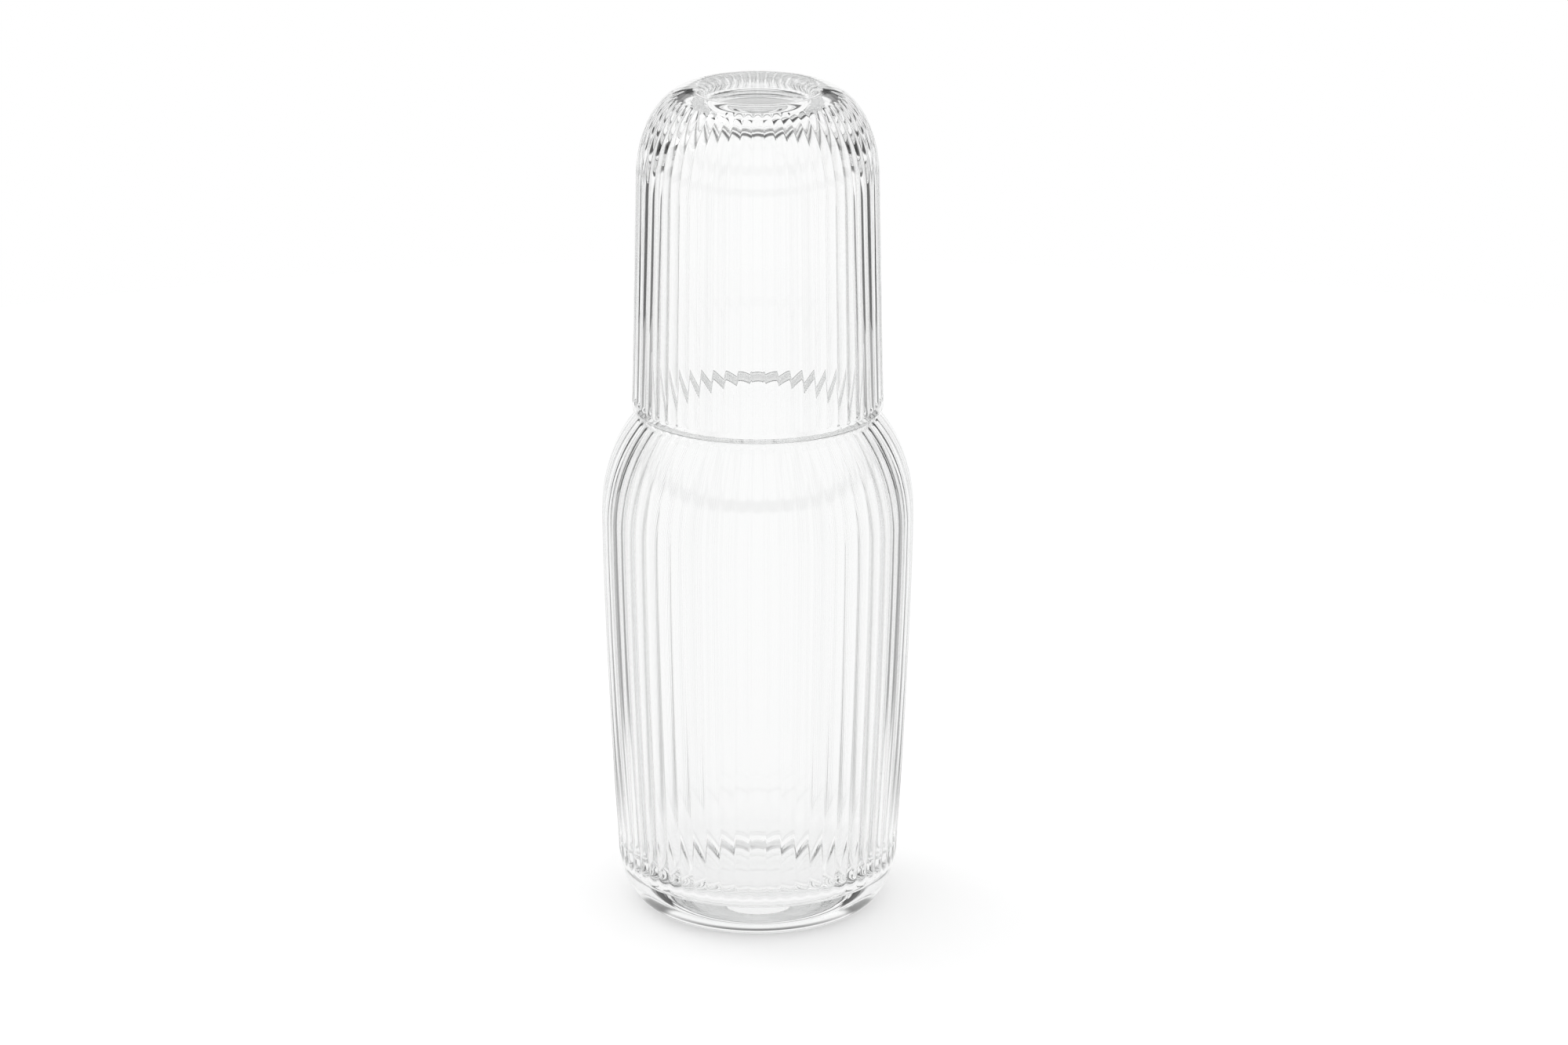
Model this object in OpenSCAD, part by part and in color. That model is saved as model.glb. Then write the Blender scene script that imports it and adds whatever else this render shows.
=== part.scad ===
// Bedside carafe with its tumbler turned over the mouth, both of clear reeded glass.
// The origin is the middle of the carafe's foot, on the surface that it stands on.

/* [Carafe body] */
// Widest diameter of the carafe, over the reeds
body_d = 80; // [70:1:100]
// Height of the widest girth above the table
girth_h = 105.4; // [90:0.2:140]
// Diameter of the wall where it runs into the foot
wall_foot_d = 72.8; // [66:0.2:80]
// How the wall's taper gathers towards the foot: 1 is a straight cone, 2 a parabola
wall_taper_power = 1.45; // [1:0.05:2]
// How far the foot draws in under the wall
foot_curve_w = 9; // [6:0.5:11]
// Height of the foot's curve
foot_curve_h = 17.6; // [15:0.2:24]
// Reach of the shoulder's curve from the girth towards the mouth
shoulder_curve_w = 23.7; // [18:0.1:28]
// Rise of the shoulder's curve, if it ran on until level
shoulder_curve_h = 33.6; // [26:0.2:44]

/* [Carafe glass] */
// Thickness of the carafe's wall
carafe_wall_t = 2.6; // [1.6:0.1:3.4]
// Thickness of the carafe's floor
floor_t = 8; // [5:0.5:12]
// Radius of the corner between floor and wall, inside
floor_corner_r = 12; // [6:0.5:16]
// Width of the flat ring that the carafe stands on
stand_ring_w = 3.2; // [2:0.2:5]
// Depth of the hollow under the foot
foot_hollow_h = 1.2; // [0.6:0.1:2.5]
// Width of the sloping edge of that hollow
foot_hollow_edge_w = 3; // [1:0.5:6]

/* [Mouth and seat] */
// Diameter of the circle on the shoulder that the tumbler's lip rests on
seat_d = 59.8; // [54:0.2:64]
// Least gap between the tumbler's lip and that seat
seat_gap = 0.3; // [0.2:0.05:0.6]
// How much narrower than the seat the rounding of the rim starts
rim_step = 1; // [0.4:0.1:2]
// Thickness of the rounded rim
rim_t = 2.5; // [1.8:0.1:3.2]

/* [Tumbler] */
// Height of the tumbler from its lip to its foot ring
tumbler_h = 83.7; // [70:0.1:110]
// Diameter over the reeds where the straight wall ends
crown_d = 61.4; // [56:0.2:66]
// How far the curve at the tumbler's foot draws in
dome_curve_w = 14; // [9:0.5:17]
// Height of that curve
dome_curve_h = 23; // [14:0.5:30]
// Thickness of the tumbler's lip
lip_t = 2.3; // [1.6:0.1:2.8]
// Thickness of the tumbler's wall where the straight part ends
crown_wall_t = 2.5; // [1.8:0.1:4]
// Thickness of the glass from the foot ring to the inside
tumbler_base_t = 5.4; // [4.6:0.1:9]
// Width of the rounded corner inside the tumbler's base
inner_curve_w = 14; // [8:0.5:18]
// Height of that rounded corner
inner_curve_h = 20; // [10:0.5:26]

/* [Tumbler foot ring] */
// Radius of the rounding from the top of the ring in to its hollow
ring_round_r = 3; // [1:0.1:3.2]
// Depth of the hollow inside the ring
punt_h = 3.4; // [2.8:0.1:4]
// Width of the slope between the ring and the flat in the middle of the hollow
punt_slope_w = 0.9; // [0.3:0.1:4]

/* [Reeds] */
// Number of reeds round each piece
reeds = 60; // [40:1:60]
// Depth of the grooves between the reeds, at the widest girth
reed_depth = 0.45; // [0.2:0.05:0.8]
// Height of the plain glass below the carafe's reeds
foot_band_h = 11.6; // [6:0.2:14]
// Height of the plain glass between the carafe's reeds and the seat
shoulder_band_h = 0.6; // [0.5:0.1:4]
// Height of the plain glass between the tumbler's lip and its reeds
lip_band_h = 2.6; // [1.6:0.1:8]
// How far the reeds stay below the top of the tumbler's foot ring
crest_band_h = 1.1; // [0.6:0.1:4]
// Height over which a groove deepens above the carafe's foot
foot_run_h = 3; // [1:0.5:6]
// Height over which a groove deepens at the seat, at the lip and at the foot ring
reed_end_h = 1; // [0.6:0.1:3]
// How far a reed starts inside the plain glass at its ends
reed_step = 0.08; // [0.05:0.01:0.3]

/* [Hidden] */
$fn = 120;
overrun = 1;
glass = [0.86, 0.91, 0.91, 0.55];

body_r = body_d / 2;
wall_foot_r = wall_foot_d / 2;
foot_r = wall_foot_r - foot_curve_w;
shoulder_mid_r = body_r - shoulder_curve_w;
seat_r = seat_d / 2;
seat_h = shoulder_h(seat_r);
carafe_reed_top = seat_h - shoulder_band_h;

// The lip's round edge stands off the seat along the shoulder's outward direction there.
seat_out = shoulder_out(seat_r);
lip_r = seat_r + (lip_t / 2 + seat_gap) * seat_out[0];
lip_mid_h = seat_h + (lip_t / 2 + seat_gap) * seat_out[1];
lip_h = lip_mid_h - lip_t / 2;

crest_h = lip_h + tumbler_h;
crown_h = crest_h - dome_curve_h;
crown_r = crown_d / 2;
dome_mid_r = crown_r - dome_curve_w;
lip_band_top = lip_h + lip_band_h;
crest_band_bottom = crest_h - crest_band_h;
ceiling_h = crest_h - tumbler_base_t;
inner_crown_h = ceiling_h - inner_curve_h;
inner_crown_r = crown_r - crown_wall_t;

// Points along a quarter of an ellipse, from angle a to angle b
function curve(mid_r, mid_h, w, h, a, b, steps) =
    [for (k = [0:steps]) let (t = a + (b - a) * k / steps) [mid_r + w * cos(t), mid_h + h * sin(t)]];

// Numbers evenly spaced from a to b
function steps(a, b, n) = [for (k = [0:n]) a + (b - a) * k / n];

// Share of the way from a to b that x has gone
function way(x, a, b) = (x - a) / (b - a);

function side_of_ellipse(share) = sqrt(max(0, 1 - share * share));

// Shoulder of the carafe: its radius at a height, its height at a radius, and its outward direction
function shoulder_r(h) = shoulder_mid_r + shoulder_curve_w * side_of_ellipse((h - girth_h) / shoulder_curve_h);
function shoulder_h(r) = girth_h + shoulder_curve_h * side_of_ellipse((r - shoulder_mid_r) / shoulder_curve_w);
function shoulder_out(r) =
    let (
        across = (r - shoulder_mid_r) / shoulder_curve_w,
        out = [across / shoulder_curve_w, side_of_ellipse(across) / shoulder_curve_h]
    ) out / norm(out);

function wall_r(h) =
    let (s = way(h, foot_curve_h, girth_h))
    body_r - (body_r - wall_foot_r) * pow(1 - s, wall_taper_power);

function foot_side_r(h) = foot_r + foot_curve_w * side_of_ellipse((foot_curve_h - h) / foot_curve_h);

function carafe_r(h) = h < foot_curve_h ? foot_side_r(h) : h < girth_h ? wall_r(h) : shoulder_r(h);

// Inside of the carafe's shoulder, one wall thickness in from the outside
function inner_shoulder_r(h) =
    shoulder_mid_r
    + (shoulder_curve_w - carafe_wall_t)
    * side_of_ellipse((h - girth_h) / (shoulder_curve_h - carafe_wall_t));

function tumbler_r(h) =
    h < crown_h
    ? lip_r + lip_t / 2 + (crown_r - lip_r - lip_t / 2) * way(h, lip_mid_h, crown_h)
    : dome_mid_r + dome_curve_w * side_of_ellipse((h - crown_h) / dome_curve_h);

function tumbler_inner_r(h) =
    lip_r - lip_t / 2 + (inner_crown_r - lip_r + lip_t / 2) * way(h, lip_mid_h, inner_crown_h);

// Reeded wall as a loft: each ring is [radius, height, share of the full groove depth].
// A reed's section is a low parabola of four facets, with its ridge at whole pitches.
reed_facets = 4;
columns = reeds * reed_facets;

function groove_share(i) =
    let (across = abs(i % reed_facets - reed_facets * round((i % reed_facets) / reed_facets)))
    pow(2 * across / reed_facets, 2);

function ring_points(ring) =
    [for (i = [0:columns - 1])
        let (
            r = ring[0] * (1 - ring[2] * reed_depth / body_r * groove_share(i)) - reed_step * (1 - ring[2]),
            a = 360 * i / columns
        )
        [r * cos(a), r * sin(a), ring[1]]];

function band_faces(k) =
    [for (i = [0:columns - 1], half = [0:1])
        let (j = (i + 1) % columns, low = k * columns, high = low + columns)
        half == 0 ? [low + i, high + i, high + j] : [low + i, high + j, low + j]];

module reeded_wall(rings) {
    top = (len(rings) - 1) * columns;
    polyhedron(
        points = [for (ring = rings) each ring_points(ring)],
        faces = concat(
            [[for (i = [0:columns - 1]) i]],
            [for (k = [0:len(rings) - 2]) each band_faces(k)],
            [[for (i = [columns - 1:-1:0]) top + i]]
        )
    );
}

// Groove depth, as a share, at height h for reeds that deepen from low upwards and from high downwards
function groove_fade(h, low, low_run, high) = max(0, min(1, (h - low) / low_run, (high - h) / reed_end_h));

// Heights of the loft's rings: close together where the outline curves, and at both ends of each run
carafe_heights = concat(
    [foot_band_h, foot_band_h + foot_run_h],
    steps(foot_curve_h, girth_h, 5),
    [for (t = steps(0, 1, 6)) if (t > 0)
        girth_h + shoulder_curve_h * sin(t * asin((carafe_reed_top - reed_end_h - girth_h) / shoulder_curve_h))],
    [carafe_reed_top]
);

tumbler_heights = concat(
    [lip_band_top, lip_band_top + reed_end_h],
    steps(lip_band_top + reed_end_h, crown_h, 2),
    [for (t = steps(0, 1, 7)) if (t > 0)
        crown_h + dome_curve_h * sin(t * asin(way(crest_band_bottom - reed_end_h, crown_h, crest_h)))],
    [crest_band_bottom]
);

function without_repeats(list) = [for (k = [0:len(list) - 1]) if (k == 0 || list[k] > list[k - 1]) list[k]];

carafe_rings =
    [for (h = without_repeats(carafe_heights))
        [carafe_r(h), h, groove_fade(h, foot_band_h, foot_run_h, carafe_reed_top)]];

tumbler_rings =
    [for (h = without_repeats(tumbler_heights))
        [tumbler_r(h), h, groove_fade(h, lip_band_top, reed_end_h, crest_band_bottom)]];

// Thick plain foot of the carafe, with the shallow hollow that leaves a ring to stand on
module carafe_foot() {
    ring_inner_r = foot_r - stand_ring_w;
    foot_turn = asin((foot_curve_h - foot_band_h) / foot_curve_h);
    rotate_extrude()
        polygon(concat(
            [
                [0, foot_hollow_h],
                [ring_inner_r - foot_hollow_edge_w, foot_hollow_h],
                [ring_inner_r, 0]
            ],
            curve(foot_r, foot_curve_h, foot_curve_w, foot_curve_h, -90, -foot_turn, 14),
            [[0, foot_band_h]]
        ));
}

// Inside of the carafe up to the top of its reeds
module carafe_hollow() {
    corner_h = floor_t + floor_corner_r;
    corner_r = carafe_r(corner_h) - carafe_wall_t;
    rotate_extrude()
        polygon(concat(
            [[0, floor_t]],
            curve(corner_r - floor_corner_r, corner_h, floor_corner_r, floor_corner_r, -90, 0, 10),
            [for (h = steps(corner_h, girth_h, 6)) if (h > corner_h) [carafe_r(h) - carafe_wall_t, h]],
            [for (h = steps(girth_h, carafe_reed_top, 10)) if (h > girth_h) [inner_shoulder_r(h), h]],
            [
                [inner_shoulder_r(carafe_reed_top), carafe_reed_top + overrun],
                [0, carafe_reed_top + overrun]
            ]
        ));
}

// Plain top of the shoulder, where the tumbler rests, and the rounded rim of the mouth inside it
module carafe_mouth() {
    rim_start_r = seat_r - rim_step / 2;
    rim_out = shoulder_out(rim_start_r);
    rim_r = rim_start_r - rim_t / 2 * rim_out[0];
    rim_mid_h = shoulder_h(rim_start_r) - rim_t / 2 * rim_out[1];
    rim_turn = atan2(rim_out[1], rim_out[0]);
    rotate_extrude()
        polygon(concat(
            [[inner_shoulder_r(carafe_reed_top), carafe_reed_top]],
            [for (r = steps(carafe_r(carafe_reed_top), rim_start_r, 4)) [r, shoulder_h(r)]],
            [for (t = steps(rim_turn, 180, 10)) if (t > rim_turn)
                [rim_r + rim_t / 2 * cos(t), rim_mid_h + rim_t / 2 * sin(t)]]
        ));
}

// Rounded lip of the tumbler and the plain band above it
module tumbler_lip() {
    rotate_extrude()
        polygon(concat(
            curve(lip_r, lip_mid_h, lip_t / 2, lip_t / 2, -180, 0, 12),
            [
                [tumbler_r(lip_band_top), lip_band_top],
                [tumbler_inner_r(lip_band_top), lip_band_top]
            ]
        ));
}

// Plain top of the dome with the ring that the tumbler stands on when it is in use
module tumbler_ring() {
    dome_turn = asin(way(crest_band_bottom, crown_h, crest_h));
    rotate_extrude()
        polygon(concat(
            [[0, crest_band_bottom]],
            curve(dome_mid_r, crown_h, dome_curve_w, dome_curve_h, dome_turn, 90, 6),
            [[0, crest_h]]
        ));
}

// Hollow in the tumbler's base, inside the ring
module tumbler_punt() {
    ring_turn = 170;
    edge_r = dome_mid_r + ring_round_r * cos(ring_turn);
    rotate_extrude()
        polygon(concat(
            [
                [0, crest_h - punt_h],
                [edge_r - punt_slope_w, crest_h - punt_h]
            ],
            curve(dome_mid_r, crest_h - ring_round_r, ring_round_r, ring_round_r, ring_turn, 90, 8),
            [
                [dome_mid_r, crest_h + overrun],
                [0, crest_h + overrun]
            ]
        ));
}

// Inside of the tumbler from the top of the lip band up
module tumbler_hollow() {
    rotate_extrude()
        polygon(concat(
            [
                [0, lip_band_top - overrun],
                [tumbler_inner_r(lip_band_top), lip_band_top - overrun],
                [tumbler_inner_r(lip_band_top), lip_band_top]
            ],
            curve(inner_crown_r - inner_curve_w, inner_crown_h, inner_curve_w, inner_curve_h, 0, 90, 12),
            [[0, ceiling_h]]
        ));
}

module carafe() {
    color(glass) {
        difference() {
            union() {
                carafe_foot();
                reeded_wall(carafe_rings);
            }
            carafe_hollow();
        }
        carafe_mouth();
    }
}

module tumbler() {
    color(glass) {
        difference() {
            union() {
                reeded_wall(tumbler_rings);
                tumbler_ring();
            }
            tumbler_hollow();
            tumbler_punt();
        }
        tumbler_lip();
    }
}

carafe();
tumbler();
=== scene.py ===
import math

import bpy
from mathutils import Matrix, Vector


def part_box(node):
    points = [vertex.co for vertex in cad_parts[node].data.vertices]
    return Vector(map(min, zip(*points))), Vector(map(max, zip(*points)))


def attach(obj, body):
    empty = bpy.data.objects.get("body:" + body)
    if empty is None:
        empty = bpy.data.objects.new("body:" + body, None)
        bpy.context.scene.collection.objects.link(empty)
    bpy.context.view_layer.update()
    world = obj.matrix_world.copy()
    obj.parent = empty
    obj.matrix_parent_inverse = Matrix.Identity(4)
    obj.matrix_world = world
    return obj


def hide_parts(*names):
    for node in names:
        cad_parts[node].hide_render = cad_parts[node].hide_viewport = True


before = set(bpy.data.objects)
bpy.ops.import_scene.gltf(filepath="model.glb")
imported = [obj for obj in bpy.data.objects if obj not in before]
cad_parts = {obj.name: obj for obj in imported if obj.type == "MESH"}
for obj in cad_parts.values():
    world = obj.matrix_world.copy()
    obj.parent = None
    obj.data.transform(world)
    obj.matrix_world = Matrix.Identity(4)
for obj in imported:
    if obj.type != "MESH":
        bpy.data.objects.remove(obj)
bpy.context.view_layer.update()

# The carafe is one piece of clear glass, pressed and blown in a reeded mould and fire polished. Its
# foot is thick and plain, sixty low reeds run up the outside of wall and shoulder, the inside is
# smooth, and the shoulder ends in a round rim that stands just inside the tumbler's lip.
MM = 0.001

BODY_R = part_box("carafe")[1].x
GIRTH_H = 105.4 * MM
WALL_FOOT_R = 36.4 * MM
WALL_TAPER_POWER = 1.45
FOOT_CURVE_W = 9.0 * MM
FOOT_CURVE_H = 17.6 * MM
SHOULDER_CURVE_W = 23.7 * MM
SHOULDER_CURVE_H = 33.6 * MM
CARAFE_WALL_T = 2.6 * MM
FLOOR_T = 8.0 * MM
FLOOR_CORNER_R = 12.0 * MM
STAND_RING_W = 3.2 * MM
FOOT_HOLLOW_H = 1.2 * MM
SEAT_R = 29.9 * MM
RIM_STEP = 0.5 * MM
RIM_R = 1.25 * MM
FOOT_R = WALL_FOOT_R - FOOT_CURVE_W
SHOULDER_MID_R = BODY_R - SHOULDER_CURVE_W

REEDS = 60
REED_DEPTH = 0.45 * MM
FOOT_BAND_H = 11.6 * MM
SHOULDER_BAND_H = 0.6 * MM
FOOT_RUN_H = 3.0 * MM
REED_END_H = 1.0 * MM
STEPS_PER_REED = 12
MERGE_GAP = 0.002 * MM

GLASS_TINT = (0.993, 0.995, 0.994, 1)
GLASS_IOR = 1.51
GLASS_BODY = (0.32, 0.34, 0.33, 1)
GLASS_DENSITY = 1.5
WAVES_PER_METRE = 55.0
WAVE_DETAIL = 1.5
WAVE_STRENGTH = 0.25
WAVE_H = 0.12 * MM
DULLEST_POLISH = 0.012


def side_of_ellipse(share):
    """How far out an ellipse is, as a share of one half width, at a share of the other."""
    return math.sqrt(max(0.0, 1.0 - share * share))


def steps(a, b, count):
    """Evenly spaced numbers from a to b, with both ends."""
    return [a + (b - a) * k / count for k in range(count + 1)]


def curve(mid_r, mid_h, w, h, start, end, count):
    """Points along a stretch of an ellipse, between two angles in degrees."""
    return [(mid_r + w * math.cos(math.radians(t)), mid_h + h * math.sin(math.radians(t)))
            for t in steps(start, end, count)]


def turn_at(rise, curve_h):
    """The angle in degrees at which an ellipse has risen to a height above its middle."""
    return math.degrees(math.asin(rise / curve_h))


def shoulder_r(h):
    return SHOULDER_MID_R + SHOULDER_CURVE_W * side_of_ellipse((h - GIRTH_H) / SHOULDER_CURVE_H)


def shoulder_h(r):
    return GIRTH_H + SHOULDER_CURVE_H * side_of_ellipse((r - SHOULDER_MID_R) / SHOULDER_CURVE_W)


def shoulder_out(r):
    """The shoulder's outward direction at a radius, as a unit vector."""
    across = (r - SHOULDER_MID_R) / SHOULDER_CURVE_W
    out = (across / SHOULDER_CURVE_W, side_of_ellipse(across) / SHOULDER_CURVE_H)
    length = math.hypot(*out)
    return out[0] / length, out[1] / length


def carafe_r(h):
    if h < FOOT_CURVE_H:
        return FOOT_R + FOOT_CURVE_W * side_of_ellipse((FOOT_CURVE_H - h) / FOOT_CURVE_H)
    if h < GIRTH_H:
        s = (h - FOOT_CURVE_H) / (GIRTH_H - FOOT_CURVE_H)
        return BODY_R - (BODY_R - WALL_FOOT_R) * (1 - s) ** WALL_TAPER_POWER
    return shoulder_r(h)


def reeded(points, low, low_run, high):
    """Adds how deep the grooves are at each point: they deepen softly from both ends."""
    grooved = []
    for r, h in points:
        share = min(1.0, max(0.0, min((h - low) / low_run, (high - h) / REED_END_H)))
        grooved.append((r, h, share * share * (3 - 2 * share)))
    return grooved


def smooth(points):
    """Adds a groove depth of nothing to each point."""
    return [(r, h, 0.0) for r, h in points]


def carafe_outline():
    """(radius, height, groove share), up the outside from the underside's middle, then inside."""
    reed_top = shoulder_h(SEAT_R) - SHOULDER_BAND_H
    reed_full = reed_top - REED_END_H
    ring_inner_r = FOOT_R - STAND_RING_W
    outside = [(ring_inner_r * s, FOOT_HOLLOW_H * (1 - s * s)) for s in steps(0.0, 1.0, count=12)]
    outside += curve(FOOT_R, FOOT_CURVE_H, FOOT_CURVE_W, FOOT_CURVE_H, -90, 0, count=26)[:-1]
    heights = steps(FOOT_CURVE_H, GIRTH_H, count=14)
    heights += [GIRTH_H + SHOULDER_CURVE_H * math.sin(math.radians(t))
                for t in steps(0, turn_at(reed_full - GIRTH_H, SHOULDER_CURVE_H), count=18)][1:]
    heights += steps(reed_full, reed_top, count=6)[1:]
    outside += [(carafe_r(h), h) for h in heights]

    rim_start_r = SEAT_R - RIM_STEP
    out_r, out_h = shoulder_out(rim_start_r)
    rim_mid_r = rim_start_r - RIM_R * out_r
    rim_mid_h = shoulder_h(rim_start_r) - RIM_R * out_h
    rim_turn = math.degrees(math.atan2(out_h, out_r))
    top = [(r, shoulder_h(r)) for r in steps(shoulder_r(reed_top), rim_start_r, count=6)][1:]
    top += curve(rim_mid_r, rim_mid_h, RIM_R, RIM_R, rim_turn, 180, count=10)[1:]

    inner_w = SHOULDER_CURVE_W - CARAFE_WALL_T
    inner_h = SHOULDER_CURVE_H - CARAFE_WALL_T
    inner_turn = turn_at(reed_top - GIRTH_H, inner_h)
    inside = curve(SHOULDER_MID_R, GIRTH_H, inner_w, inner_h, inner_turn, 0, count=16)
    corner_h = FLOOR_T + FLOOR_CORNER_R
    inside += [(carafe_r(h) - CARAFE_WALL_T, h) for h in steps(GIRTH_H, corner_h, count=10)][1:]
    corner_mid_r = carafe_r(corner_h) - CARAFE_WALL_T - FLOOR_CORNER_R
    inside += curve(corner_mid_r, corner_h, FLOOR_CORNER_R, FLOOR_CORNER_R, 0, -90, count=12)[1:]
    inside += [(0.0, FLOOR_T)]
    return reeded(outside, FOOT_BAND_H, FOOT_RUN_H, reed_top) + smooth(top + inside)


def feed(tree, node, inputs):
    """Sets a node's inputs to values, or links them to other nodes' outputs."""
    for key, value in inputs.items():
        if isinstance(value, bpy.types.NodeSocket):
            tree.links.new(value, node.inputs[key])
        else:
            node.inputs[key].default_value = value


def add_node(tree, kind, inputs=None, **settings):
    """A new node, with its settings made first because some of them change its inputs."""
    node = tree.nodes.new(kind)
    for key, value in settings.items():
        setattr(node, key, value)
    feed(tree, node, inputs or {})
    return node


def work_out(tree, operation, *values):
    """The output of a math node that is fed with numbers or sockets."""
    return add_node(tree, "ShaderNodeMath", dict(enumerate(values)), operation=operation).outputs[0]


def parts_of(tree, place):
    """The X, Y and Z of a place, as sockets by these names."""
    return add_node(tree, "ShaderNodeSeparateXYZ", {0: place}).outputs


def clear_glass(name):
    """Clear glass with the faint waves that a mould leaves and fire polishing softens."""
    material = bpy.data.materials.new(name)
    material.use_nodes = True
    tree = material.node_tree
    place = add_node(tree, "ShaderNodeTexCoord").outputs["Object"]
    waves = add_node(tree, "ShaderNodeTexNoise", {
        "Vector": place, "Scale": WAVES_PER_METRE, "Detail": WAVE_DETAIL}).outputs["Fac"]
    polish = add_node(tree, "ShaderNodeMapRange", {
        "Value": waves, "To Min": 0.0, "To Max": DULLEST_POLISH})
    bump = add_node(tree, "ShaderNodeBump", {
        "Height": waves, "Strength": WAVE_STRENGTH, "Distance": WAVE_H})
    feed(tree, tree.nodes["Principled BSDF"], {
        "Base Color": GLASS_TINT, "Transmission Weight": 1.0, "IOR": GLASS_IOR,
        "Roughness": polish.outputs["Result"], "Normal": bump.outputs["Normal"]})
    body = add_node(tree, "ShaderNodeVolumeAbsorption", {
        "Color": GLASS_BODY, "Density": GLASS_DENSITY})
    feed(tree, tree.nodes["Material Output"], {"Volume": body.outputs[0]})
    return material


def reeded_turning_tree():
    """Nodes that turn an outline about the upright axis and press reeds in where it says."""
    tree = bpy.data.node_groups.new("reeded turning", "GeometryNodeTree")
    for label, kind in (("Outline", "Geometry"), ("Reeds", "Int"), ("Steps per reed", "Int"),
                        ("Groove depth", "Float"), ("Girth radius", "Float"),
                        ("Glass", "Material")):
        tree.interface.new_socket(label, in_out="INPUT", socket_type="NodeSocket" + kind)
    tree.interface.new_socket("Piece", in_out="OUTPUT", socket_type="NodeSocketGeometry")
    given = tree.nodes.new("NodeGroupInput")

    def at_outline(value, kind, index):
        return add_node(tree, "GeometryNodeSampleIndex", {
            "Geometry": given.outputs["Outline"], "Value": value, "Index": index},
            data_type=kind).outputs["Value"]

    size = add_node(tree, "GeometryNodeAttributeDomainSize", {0: given.outputs["Outline"]})
    rows = size.outputs["Point Count"]
    columns = work_out(tree, "MULTIPLY", given.outputs["Reeds"], given.outputs["Steps per reed"])
    grid = add_node(tree, "GeometryNodeMeshGrid", {
        "Vertices X": work_out(tree, "ADD", columns, 1), "Vertices Y": rows})

    # The grid's points are numbered up the rows first, and then column by column.
    index = add_node(tree, "GeometryNodeInputIndex").outputs[0]
    around = work_out(tree, "DIVIDE", work_out(tree, "ADD", index, 0.5), rows)
    around = work_out(tree, "FLOOR", around)
    along = work_out(tree, "SUBTRACT", index, work_out(tree, "MULTIPLY", around, rows))
    along = work_out(tree, "ROUND", along)

    position = add_node(tree, "GeometryNodeInputPosition").outputs[0]
    point = parts_of(tree, at_outline(position, "FLOAT_VECTOR", along))
    groove = add_node(tree, "GeometryNodeInputNamedAttribute", {"Name": "groove"},
                      data_type="FLOAT")
    share = at_outline(groove.outputs["Attribute"], "FLOAT", along)

    # From 0 on a reed's ridge to 1 in the groove beside it; squared, that is the reed's round back.
    across = work_out(tree, "DIVIDE", around, given.outputs["Steps per reed"])
    across = work_out(tree, "MULTIPLY", work_out(tree, "PINGPONG", across, 0.5), 2)
    depth = work_out(tree, "DIVIDE", given.outputs["Groove depth"], given.outputs["Girth radius"])
    cut = work_out(tree, "MULTIPLY", work_out(tree, "MULTIPLY", across, across),
                   work_out(tree, "MULTIPLY", share, depth))
    radius = work_out(tree, "MULTIPLY", point["X"], work_out(tree, "SUBTRACT", 1, cut))
    angle = work_out(tree, "MULTIPLY", work_out(tree, "DIVIDE", around, columns), 2 * math.pi)
    place = add_node(tree, "ShaderNodeCombineXYZ", {
        "X": work_out(tree, "MULTIPLY", radius, work_out(tree, "COSINE", angle)),
        "Y": work_out(tree, "MULTIPLY", radius, work_out(tree, "SINE", angle)),
        "Z": point["Z"]})

    piece = grid.outputs["Mesh"]
    for kind, inputs in (
            ("GeometryNodeSetPosition", {"Position": place.outputs[0]}),
            ("GeometryNodeMergeByDistance", {"Distance": MERGE_GAP}),
            ("GeometryNodeSetShadeSmooth", {}),
            ("GeometryNodeRealizeInstances", {}),
            ("GeometryNodeSetMaterial", {"Material": given.outputs["Glass"]})):
        piece = add_node(tree, kind, {"Geometry": piece, **inputs}).outputs[0]
    add_node(tree, "NodeGroupOutput", {"Piece": piece})
    return tree


def turned_glass(name, outline, glass):
    """A finished glass piece: the outline, turned and reeded by the nodes, as a plain mesh.

    The faces look outward because the outline runs with the glass on its left.
    """
    mesh = bpy.data.meshes.new(name + " outline")
    points = [(r, 0.0, h) for r, h, groove in outline]
    mesh.from_pydata(points, [(k, k + 1) for k in range(len(points) - 1)], [])
    grooves = mesh.attributes.new("groove", "FLOAT", "POINT")
    grooves.data.foreach_set("value", [groove for r, h, groove in outline])
    shape = bpy.data.objects.new(name + " outline", mesh)
    bpy.context.collection.objects.link(shape)
    turning = shape.modifiers.new("turning", "NODES")
    turning.node_group = reeded_turning_tree()
    given = {"Reeds": REEDS, "Steps per reed": STEPS_PER_REED, "Groove depth": REED_DEPTH,
             "Girth radius": BODY_R, "Glass": glass}
    for item in turning.node_group.interface.items_tree:
        if item.in_out == "INPUT" and item.name in given:
            turning[item.identifier] = given[item.name]
    evaluated = shape.evaluated_get(bpy.context.evaluated_depsgraph_get())
    made = bpy.data.meshes.new_from_object(evaluated)
    made.name = name
    bpy.data.objects.remove(shape)
    piece = bpy.data.objects.new(name, made)
    bpy.context.collection.objects.link(piece)
    return piece


carafe = turned_glass("carafe_glass_body", carafe_outline(), clear_glass("carafe glass"))
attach(carafe, "carafe")
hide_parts("carafe")

# The tumbler is the drinking glass, of the same clear reeded glass, turned upside down as a cover.
# Its lip is rounded and plain and rests on the carafe's shoulder. The reeds run up its wall, draw
# together over the round foot and end below the ring that it stands on, with a hollow in the ring.
lip_low, ring_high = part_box("tumbler")

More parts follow.
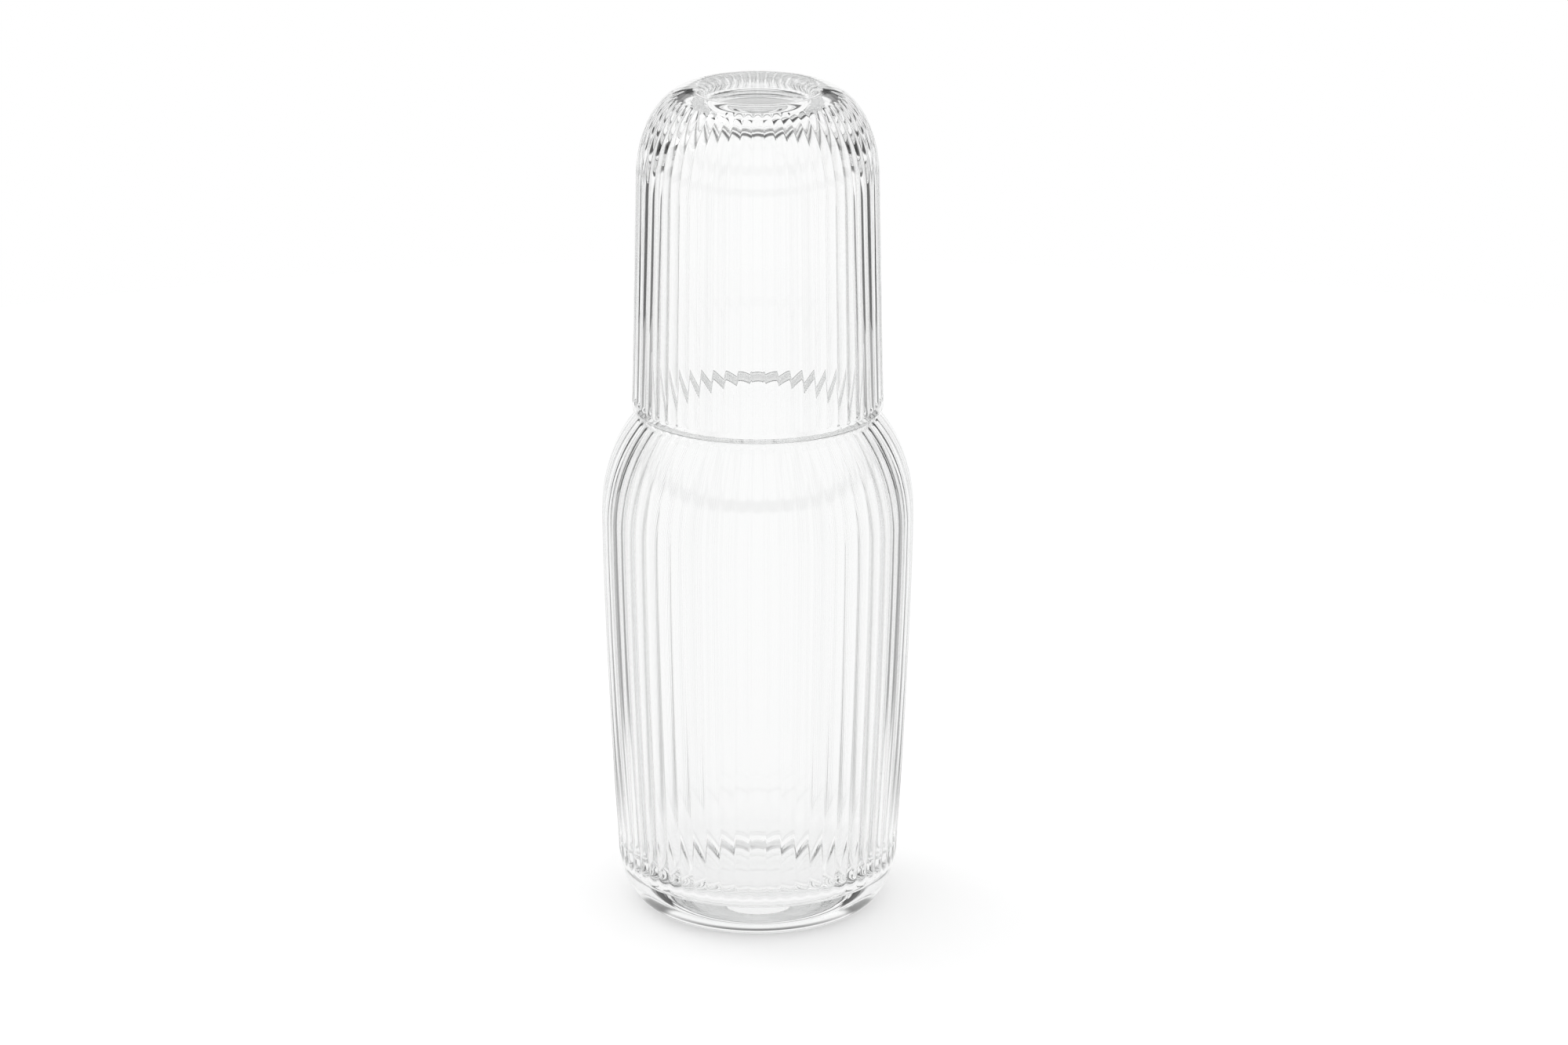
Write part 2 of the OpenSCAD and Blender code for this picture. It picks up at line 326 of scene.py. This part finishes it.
LIP_R = 1.15 * MM
LIP_BAND_H = 2.6 * MM
CROWN_R = 30.7 * MM
DOME_CURVE_W = 14.0 * MM
DOME_CURVE_H = 23.0 * MM
CROWN_WALL_T = 2.5 * MM
TUMBLER_BASE_T = 5.4 * MM
INNER_CURVE_W = 14.0 * MM
INNER_CURVE_H = 20.0 * MM
RING_ROUND_R = 3.0 * MM
RING_TURN = 170
PUNT_H = 3.4 * MM
PUNT_SLOPE_W = 0.9 * MM
PUNT_FLAT_SHARE = 0.9
PUNT_CORNER_SHARE = 0.98
CREST_BAND_H = 1.1 * MM


def tumbler_outline():
    """(radius, height, groove share), down the inside from the ceiling's middle, then outside."""
    crest_h = ring_high.z
    lip_mid_h = lip_low.z + LIP_R
    lip_mid_r = ring_high.x - LIP_R
    crown_h = crest_h - DOME_CURVE_H
    dome_mid_r = CROWN_R - DOME_CURVE_W
    reed_low = lip_low.z + LIP_BAND_H
    reed_high = crest_h - CREST_BAND_H

    ring_mid_h = crest_h - RING_ROUND_R
    ring = curve(dome_mid_r, ring_mid_h, RING_ROUND_R, RING_ROUND_R, RING_TURN, 90, count=10)
    punt_r = ring[0][0] - PUNT_SLOPE_W
    punt = [(0.0, crest_h - PUNT_H), (PUNT_FLAT_SHARE * punt_r, crest_h - PUNT_H),
            (punt_r, crest_h - PUNT_CORNER_SHARE * PUNT_H)]

    turns = [90, turn_at(reed_high - crown_h, DOME_CURVE_H),
             turn_at(reed_high - REED_END_H - crown_h, DOME_CURVE_H), 0]
    outside = []
    for start, end, count in zip(turns, turns[1:], (6, 6, 20)):
        outside += curve(dome_mid_r, crown_h, DOME_CURVE_W, DOME_CURVE_H, start, end, count)[1:]
    wall_low_r = lip_mid_r + LIP_R
    heights = steps(crown_h, reed_low + REED_END_H, count=8)[1:]
    heights += steps(reed_low + REED_END_H, reed_low, count=6)[1:] + [lip_mid_h]
    wall_h = crown_h - lip_mid_h
    outside += [(wall_low_r + (CROWN_R - wall_low_r) * (h - lip_mid_h) / wall_h, h)
                for h in heights]

    lip = curve(lip_mid_r, lip_mid_h, LIP_R, LIP_R, 0, -180, count=14)[1:]
    inner_r = CROWN_R - CROWN_WALL_T
    ceiling_h = crest_h - TUMBLER_BASE_T
    inner_crown_h = ceiling_h - INNER_CURVE_H
    inward = inner_r - lip_mid_r + LIP_R
    inside = [(lip_mid_r - LIP_R + inward * t, lip_mid_h + (inner_crown_h - lip_mid_h) * t)
              for t in steps(0, 1, count=10)][1:]
    inner_mid_r = inner_r - INNER_CURVE_W
    inside += curve(inner_mid_r, inner_crown_h, INNER_CURVE_W, INNER_CURVE_H, 0, 90, count=18)[1:]
    inside += [(0.0, ceiling_h)]
    downwards = smooth(punt + ring) + reeded(outside, reed_low, REED_END_H, reed_high)
    downwards += smooth(lip + inside)
    return downwards[::-1]


tumbler = turned_glass("tumbler_glass_body", tumbler_outline(), clear_glass("tumbler glass"))
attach(tumbler, "tumbler")
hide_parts("tumbler")

# The table is a plain matt white surface that keeps the soft shadow. What the glass mirrors and
# refracts of it is a painted glow: white near the object, over the shadow there, and four painted
# dark cards further out, between front, back and sides, as a photographer sets them to draw the
# glass's edges. The camera never sees them.
TABLE_R = 0.6
TABLE_EDGES = 96
TABLE_WHITE = (0.8, 0.8, 0.8, 1)
TABLE_ROUGHNESS = 0.9
TABLE_GLOW = 0.36
PAINTED_GLOW_LEVEL = 0.94
PAINTED_GLOW_SHARE = 0.75
CARDS = 4
CARD_START_R = 0.04
CARD_FULL_R = 0.12
CARD_BEGINS = -0.7
CARD_DARKEST = -0.95
FAR_CARD_LEVEL = 0.05
NEAR_CARD_LEVEL = 0.45


def softly(tree, value, low, high, at_low, at_high):
    """A smooth change from one number to another while a value goes from low to high."""
    return add_node(tree, "ShaderNodeMapRange", {
        "Value": value, "From Min": low, "From Max": high, "To Min": at_low, "To Max": at_high},
        interpolation_type="SMOOTHSTEP").outputs["Result"]


def rays(tree, *kinds):
    """1 for the named kinds of ray and 0 for the others."""
    path = add_node(tree, "ShaderNodeLightPath")
    total = 0.0
    for kind in kinds:
        total = work_out(tree, "MAXIMUM", total, path.outputs[kind])
    return total


def card_pattern(tree, place):
    """How light the studio is towards a place: 1 between the cards, less on them. On the table this
    is painted into its glow.

    The cards on the camera's side are grey, the far ones nearly black.
    """
    parts = parts_of(tree, place)
    around = work_out(tree, "ARCTAN2", parts["X"], parts["Y"])
    wave = work_out(tree, "COSINE", work_out(tree, "MULTIPLY", around, CARDS))
    near_side = work_out(tree, "LESS_THAN", parts["Y"], 0.0)
    card = work_out(tree, "MULTIPLY_ADD", near_side,
                    NEAR_CARD_LEVEL - FAR_CARD_LEVEL, FAR_CARD_LEVEL)
    gap = softly(tree, wave, CARD_DARKEST, CARD_BEGINS, 0.0, 1.0)
    return work_out(tree, "MAXIMUM", card, gap)


def white_table():
    material = bpy.data.materials.new("white table")
    material.use_nodes = True
    tree = material.node_tree
    in_glass = rays(tree, "Is Glossy Ray", "Is Transmission Ray")
    seen = work_out(tree, "MAXIMUM", in_glass, rays(tree, "Is Camera Ray"))
    paper = tree.nodes["Principled BSDF"]
    feed(tree, paper, {
        "Base Color": TABLE_WHITE, "Roughness": TABLE_ROUGHNESS, "Specular IOR Level": 0.0,
        "Emission Color": (1, 1, 1, 1),
        "Emission Strength": work_out(tree, "MULTIPLY", seen, TABLE_GLOW)})
    # Glass rays see a painted glow here: white near the object over the shadow, painted dark cards
    # further out.
    place = add_node(tree, "ShaderNodeTexCoord").outputs["Object"]
    away = add_node(tree, "ShaderNodeVectorMath", {0: place}, operation="LENGTH")
    near = softly(tree, away.outputs["Value"], CARD_START_R, CARD_FULL_R, 1.0, 0.0)
    level = work_out(tree, "MAXIMUM", near, card_pattern(tree, place))
    painted_glow = add_node(tree, "ShaderNodeEmission", {
        "Strength": work_out(tree, "MULTIPLY", level, PAINTED_GLOW_LEVEL)})
    mix = add_node(tree, "ShaderNodeMixShader", {
        0: work_out(tree, "MULTIPLY", in_glass, PAINTED_GLOW_SHARE),
        1: paper.outputs[0], 2: painted_glow.outputs[0]})
    feed(tree, tree.nodes["Material Output"], {"Surface": mix.outputs[0]})
    return material


bpy.ops.mesh.primitive_circle_add(vertices=TABLE_EDGES, radius=TABLE_R, fill_type="NGON")
table = bpy.context.object
table.name = "table"
table.data.materials.append(white_table())

# The room is an even white. For what the glass mirrors and refracts it has the same cards, and a
# dark band above the horizon that draws the tumbler's dome and the foot. One large soft lamp from
# the upper left gives the shadow its side.
ROOM_LIGHT = 0.9
BAND_LOW = 0.19
BAND_HIGH = 0.33
BAND_SOFTNESS = 0.03
BAND_LEVEL = 0.05
LAMP_SIZE = 0.9
LAMP_POWER = 2.5
LAMP_PLACE = (-0.9, 0.5, 1.3)


def room_level(tree):
    """1 where the camera sees the room, the pattern for glass, and the plain level for light."""
    place = add_node(tree, "ShaderNodeTexCoord").outputs["Generated"]
    height = parts_of(tree, place)["Z"]
    below = softly(tree, height, BAND_LOW - BAND_SOFTNESS, BAND_LOW + BAND_SOFTNESS,
                   1.0, BAND_LEVEL)
    above = softly(tree, height, BAND_HIGH - BAND_SOFTNESS, BAND_HIGH + BAND_SOFTNESS,
                   BAND_LEVEL, 1.0)
    band = work_out(tree, "MAXIMUM", below, above)
    shown = work_out(tree, "MULTIPLY", card_pattern(tree, place), band)
    unseen = work_out(tree, "SUBTRACT", 1.0, rays(tree, "Is Camera Ray"))
    plain = work_out(tree, "ADD", 1.0, work_out(tree, "MULTIPLY", unseen, ROOM_LIGHT - 1.0))
    in_glass = rays(tree, "Is Glossy Ray", "Is Transmission Ray")
    change = work_out(tree, "MULTIPLY", in_glass, work_out(tree, "SUBTRACT", shown, plain))
    return work_out(tree, "ADD", plain, change)


room = bpy.data.worlds.new("white room")
bpy.context.scene.world = room
room.use_nodes = True
feed(room.node_tree, room.node_tree.nodes["Background"], {
    "Color": (1, 1, 1, 1), "Strength": room_level(room.node_tree)})

lamp_data = bpy.data.lights.new("soft lamp", "AREA")
lamp_data.shape = "DISK"
lamp_data.size = LAMP_SIZE
lamp_data.energy = LAMP_POWER
lamp = bpy.data.objects.new("soft lamp", lamp_data)
lamp.location = LAMP_PLACE
lamp.rotation_euler = lamp.location.to_track_quat("Z", "Y").to_euler()
bpy.context.collection.objects.link(lamp)

# The camera stands a little above the object and looks down at it, as in the photograph.
CAMERA_AWAY = 1.4
CAMERA_H = 0.5734
CAMERA_DOWN = 18.61
LENS = 132.4
SENSOR_W = 36
PICTURE_W = 2000
AXIS_LEFT_OF_MIDDLE = 33.5
NEAREST_SEEN = 0.01
camera_data = bpy.data.cameras.new("camera")
camera_data.sensor_width = SENSOR_W
camera_data.lens = LENS
camera_data.shift_x = AXIS_LEFT_OF_MIDDLE / PICTURE_W
camera_data.clip_start = NEAREST_SEEN
camera = bpy.data.objects.new("camera", camera_data)
camera.location = (0, -CAMERA_AWAY, CAMERA_H)
camera.rotation_euler = (math.radians(90 - CAMERA_DOWN), 0, 0)
bpy.context.collection.objects.link(camera)
bpy.context.scene.camera = camera
bpy.context.scene.view_settings.view_transform = "Standard"

# Light that runs up inside a glass wall turns back many times before it leaves.
LIGHT_BOUNCES = 40
bpy.context.scene.cycles.max_bounces = LIGHT_BOUNCES
bpy.context.scene.cycles.transmission_bounces = LIGHT_BOUNCES
bpy.context.scene.cycles.glossy_bounces = LIGHT_BOUNCES
